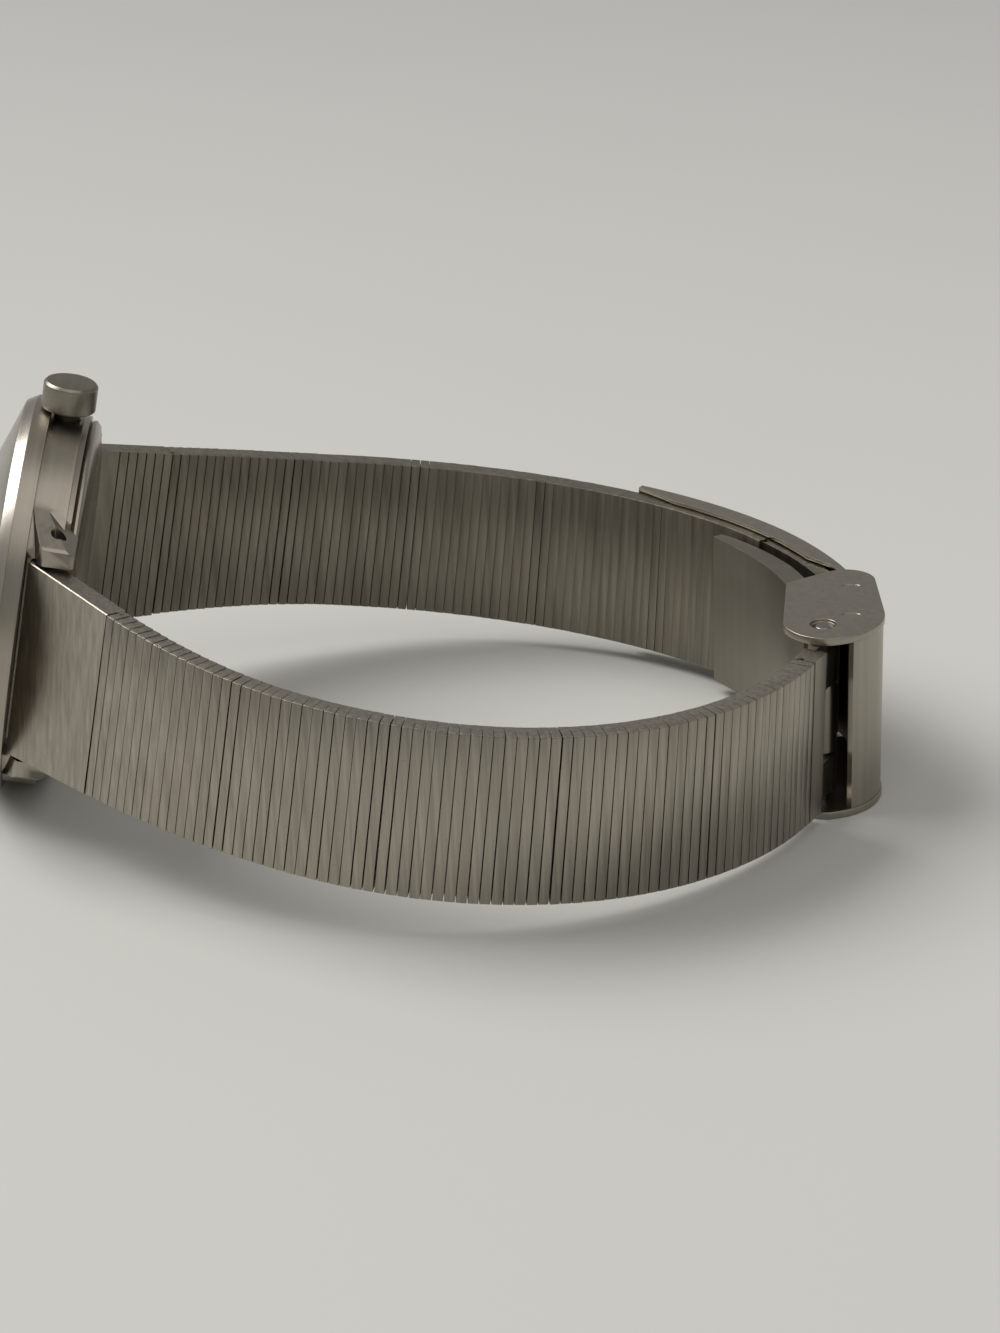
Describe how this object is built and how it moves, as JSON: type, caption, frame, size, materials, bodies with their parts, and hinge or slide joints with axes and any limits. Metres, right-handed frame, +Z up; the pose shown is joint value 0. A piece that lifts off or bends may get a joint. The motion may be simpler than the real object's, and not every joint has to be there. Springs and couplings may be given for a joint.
{
  "type": "wristwatch",
  "caption": "Small round steel dress watch on a tapering bracelet of narrow cross bars with a folding ladder clasp, standing on the edge of its case and the end of its clasp.",
  "frame": {"origin": "centre of the standing watch's bounding box, on the surface it stands on", "axes": "+Z up, +X from the case towards the clasp, +Y towards the 12 o'clock side of the case; the crown points up"},
  "size_m": [0.0728, 0.0558, 0.033],
  "materials": {
    "steel": "satin",
    "polished_steel": "polished",
    "spring_steel": "smooth",
    "blued_steel": "polished",
    "brass": "gilt",
    "dial_paint": "satin",
    "crystal": "clear",
    "gasket": "matte",
    "white_plastic": "gloss"
  },
  "bodies": {
    "case": {"case_middle": "polished_steel", "bezel": "polished_steel", "crystal": "crystal", "crystal_gasket": "white_plastic", "dial": "dial_paint", "hour_markers": "spring_steel", "case_back": "polished_steel", "case_back_gasket": "gasket", "movement_ring": "white_plastic", "crown_tube": "polished_steel", "main_plate": "brass", "barrel_bridge": "brass", "train_bridge": "brass", "balance_cock": "brass", "bridge_screws": "blued_steel", "lug_spring_bars": "spring_steel"},
    "stem_carriage": {"setting_lever": "spring_steel"},
    "crown": {"crown": "polished_steel", "crown_gasket": "gasket", "winding_stem": "spring_steel"},
    "minute_hand": {"minute_hand": "spring_steel", "cannon_pinion": "spring_steel"},
    "hour_hand": {"hour_hand": "spring_steel", "hour_wheel": "brass"},
    "minute_wheel": {"minute_wheel": "brass"},
    "mainspring_barrel": {"mainspring_barrel": "brass"},
    "centre_wheel": {"centre_wheel": "brass"},
    "third_wheel": {"third_wheel": "brass"},
    "fourth_wheel": {"fourth_wheel": "brass"},
    "escape_wheel": {"escape_wheel": "spring_steel"},
    "pallet_fork": {"pallet_fork": "spring_steel"},
    "balance": {"balance_wheel": "brass", "hairspring": "blued_steel"},
    "near_end_piece": {"near_end_piece": "steel"},
    "far_end_piece": {"far_end_piece": "steel"},
    "near_clasp_end": {"near_clasp_end": "steel"},
    "far_ladder_end": {"far_ladder_end": "steel"},
    "clasp_cover": {"clasp_cover": "steel", "clasp_side_plates": "steel", "clasp_pin": "spring_steel"},
    "clasp_blade": {"clasp_blade": "steel"},
    "near_links_1": {"near_links_1": "steel"},
    "far_links_1": {"far_links_1": "steel"},
    "near_links_2": {"near_links_2": "steel"},
    "far_links_2": {"far_links_2": "steel"},
    "near_links_3": {"near_links_3": "steel"},
    "far_links_3": {"far_links_3": "steel"},
    "near_links_4": {"near_links_4": "steel"},
    "far_links_4": {"far_links_4": "steel"},
    "near_links_5": {"near_links_5": "steel"},
    "far_links_5": {"far_links_5": "steel"}
  },
  "joints": [
    {"name": "near_lug_pivot", "type": "hinge", "parent": "case", "child": "near_end_piece", "pos_m": [-0.02777, -0.00893, 0.01474], "axis": [0.1998, 0, 0.9798], "range_deg": [-10, 3]},
    {"name": "near_band_flex_1", "type": "hinge", "parent": "near_end_piece", "child": "near_links_1", "pos_m": [-0.0221, -0.0153, 0.01362], "axis": [0.191, 0, 0.9816], "range_deg": [-4, 2]},
    {"name": "near_band_flex_2", "type": "hinge", "parent": "near_links_1", "child": "near_links_2", "pos_m": [-0.01248, -0.02233, 0.01187], "axis": [0.1697, 0, 0.9855], "range_deg": [-4, 2]},
    {"name": "near_band_flex_3", "type": "hinge", "parent": "near_links_2", "child": "near_links_3", "pos_m": [-0.00129, -0.02624, 0.01014], "axis": [0.1379, 0, 0.9904], "range_deg": [-4, 2]},
    {"name": "near_band_flex_4", "type": "hinge", "parent": "near_links_3", "child": "near_links_4", "pos_m": [0.01057, -0.02595, 0.00875], "axis": [0.0978, 0, 0.9952], "range_deg": [-4, 2]},
    {"name": "near_band_flex_5", "type": "hinge", "parent": "near_links_4", "child": "near_links_5", "pos_m": [0.02139, -0.02104, 0.00792], "axis": [0.0562, 0, 0.9984], "range_deg": [-4, 2]},
    {"name": "near_band_flex_6", "type": "hinge", "parent": "near_links_5", "child": "near_clasp_end", "pos_m": [0.02913, -0.01201, 0.00762], "axis": [0.0237, 0, 0.9997], "range_deg": [-4, 2]},
    {"name": "far_lug_pivot", "type": "hinge", "parent": "case", "child": "far_end_piece", "pos_m": [-0.02876, 0.01534, 0.01495], "axis": [0.1998, 0, 0.9798], "range_deg": [-3, 5]},
    {"name": "far_band_flex_1", "type": "hinge", "parent": "far_end_piece", "child": "far_links_1", "pos_m": [-0.02178, 0.02017, 0.01356], "axis": [0.1904, 0, 0.9817], "range_deg": [-2, 4]},
    {"name": "far_band_flex_2", "type": "hinge", "parent": "far_links_1", "child": "far_links_2", "pos_m": [-0.01165, 0.02472, 0.01172], "axis": [0.1676, 0, 0.9859], "range_deg": [-2, 4]},
    {"name": "far_band_flex_3", "type": "hinge", "parent": "far_links_2", "child": "far_links_3", "pos_m": [-0.00073, 0.02665, 0.01006], "axis": [0.1361, 0, 0.9907], "range_deg": [-2, 4]},
    {"name": "far_band_flex_4", "type": "hinge", "parent": "far_links_3", "child": "far_links_4", "pos_m": [0.01031, 0.02536, 0.00877], "axis": [0.0986, 0, 0.9951], "range_deg": [-2, 4]},
    {"name": "far_band_flex_5", "type": "hinge", "parent": "far_links_4", "child": "far_links_5", "pos_m": [0.0204, 0.02063, 0.00798], "axis": [0.0602, 0, 0.9982], "range_deg": [-2, 4]},
    {"name": "far_band_flex_6", "type": "hinge", "parent": "far_links_5", "child": "far_ladder_end", "pos_m": [0.02833, 0.01279, 0.00764], "axis": [0.0274, 0, 0.9996], "range_deg": [-2, 4]},
    {"name": "cover_swing", "type": "hinge", "parent": "near_clasp_end", "child": "clasp_cover", "pos_m": [0.03137, -0.00727, 0.00755], "axis": [0, 0, -1], "range_deg": [0, 32]},
    {"name": "blade_swing", "type": "hinge", "parent": "near_clasp_end", "child": "clasp_blade", "pos_m": [0.03137, -0.00727, 0.00755], "axis": [0, 0, 1], "range_deg": [0, 25]},
    {"name": "crown_pull", "type": "slide", "parent": "case", "child": "stem_carriage", "axis": [0.1998, 0, 0.9798], "range_m": [0, 0.0012]},
    {"name": "crown_turn", "type": "hinge", "parent": "stem_carriage", "child": "crown", "pos_m": [-0.02605, 0.00316, 0.03072], "axis": [0.1998, 0, 0.9798], "continuous": true},
    {"name": "minute_hand_turn", "type": "hinge", "parent": "case", "child": "minute_hand", "pos_m": [-0.02924, 0.00316, 0.01505], "axis": [-0.979, -0.0419, 0.1996], "continuous": true},
    {"name": "hour_hand_turn", "type": "hinge", "parent": "case", "child": "hour_hand", "pos_m": [-0.02924, 0.00316, 0.01505], "axis": [-0.979, -0.0419, 0.1996], "continuous": true},
    {"name": "minute_wheel_turn", "type": "hinge", "parent": "case", "child": "minute_wheel", "pos_m": [-0.02909, 0.00527, 0.01625], "axis": [-0.979, -0.0419, 0.1996], "continuous": true},
    {"name": "barrel_turn", "type": "hinge", "parent": "case", "child": "mainspring_barrel", "pos_m": [-0.02927, 0.00698, 0.01574], "axis": [-0.979, -0.0419, 0.1996], "continuous": true},
    {"name": "centre_wheel_turn", "type": "hinge", "parent": "case", "child": "centre_wheel", "pos_m": [-0.02924, 0.00316, 0.01505], "axis": [-0.979, -0.0419, 0.1996], "continuous": true},
    {"name": "third_wheel_turn", "type": "hinge", "parent": "case", "child": "third_wheel", "pos_m": [-0.02975, 0.00108, 0.01211], "axis": [-0.979, -0.0419, 0.1996], "continuous": true},
    {"name": "fourth_wheel_turn", "type": "hinge", "parent": "case", "child": "fourth_wheel", "pos_m": [-0.02971, -0.00214, 0.01164], "axis": [-0.979, -0.0419, 0.1996], "continuous": true},
    {"name": "escape_wheel_turn", "type": "hinge", "parent": "case", "child": "escape_wheel", "pos_m": [-0.02913, -0.00338, 0.01424], "axis": [-0.979, -0.0419, 0.1996], "continuous": true},
    {"name": "lever_swing", "type": "hinge", "parent": "case", "child": "pallet_fork", "pos_m": [-0.02878, -0.0027, 0.01609], "axis": [-0.979, -0.0419, 0.1996], "range_deg": [-4, 4]},
    {"name": "balance_swing", "type": "hinge", "parent": "case", "child": "balance", "pos_m": [-0.02838, -0.00191, 0.01821], "axis": [-0.979, -0.0419, 0.1996], "range_deg": [-150, 150], "stiffness_Nm_per_rad": 0.000001}
  ],
  "couplings": [
    {"joint": "near_lug_pivot", "follows": "cover_swing", "ratio": -0.28},
    {"joint": "near_band_flex_1", "follows": "cover_swing", "ratio": -0.11},
    {"joint": "near_band_flex_2", "follows": "cover_swing", "ratio": -0.11},
    {"joint": "near_band_flex_3", "follows": "cover_swing", "ratio": -0.11},
    {"joint": "near_band_flex_4", "follows": "cover_swing", "ratio": -0.11},
    {"joint": "near_band_flex_5", "follows": "cover_swing", "ratio": -0.11},
    {"joint": "near_band_flex_6", "follows": "cover_swing", "ratio": -0.11},
    {"joint": "far_lug_pivot", "follows": "cover_swing", "ratio": 0.1},
    {"joint": "far_band_flex_1", "follows": "cover_swing", "ratio": 0.11},
    {"joint": "far_band_flex_2", "follows": "cover_swing", "ratio": 0.11},
    {"joint": "far_band_flex_3", "follows": "cover_swing", "ratio": 0.11},
    {"joint": "far_band_flex_4", "follows": "cover_swing", "ratio": 0.11},
    {"joint": "far_band_flex_5", "follows": "cover_swing", "ratio": 0.11},
    {"joint": "far_band_flex_6", "follows": "cover_swing", "ratio": 0.11},
    {"joint": "hour_hand_turn", "follows": "minute_hand_turn", "ratio": 0.083333},
    {"joint": "minute_wheel_turn", "follows": "minute_hand_turn", "ratio": -0.33333},
    {"joint": "centre_wheel_turn", "follows": "barrel_turn", "ratio": -8},
    {"joint": "third_wheel_turn", "follows": "barrel_turn", "ratio": 64},
    {"joint": "fourth_wheel_turn", "follows": "barrel_turn", "ratio": -480},
    {"joint": "escape_wheel_turn", "follows": "barrel_turn", "ratio": 4800}
  ]
}
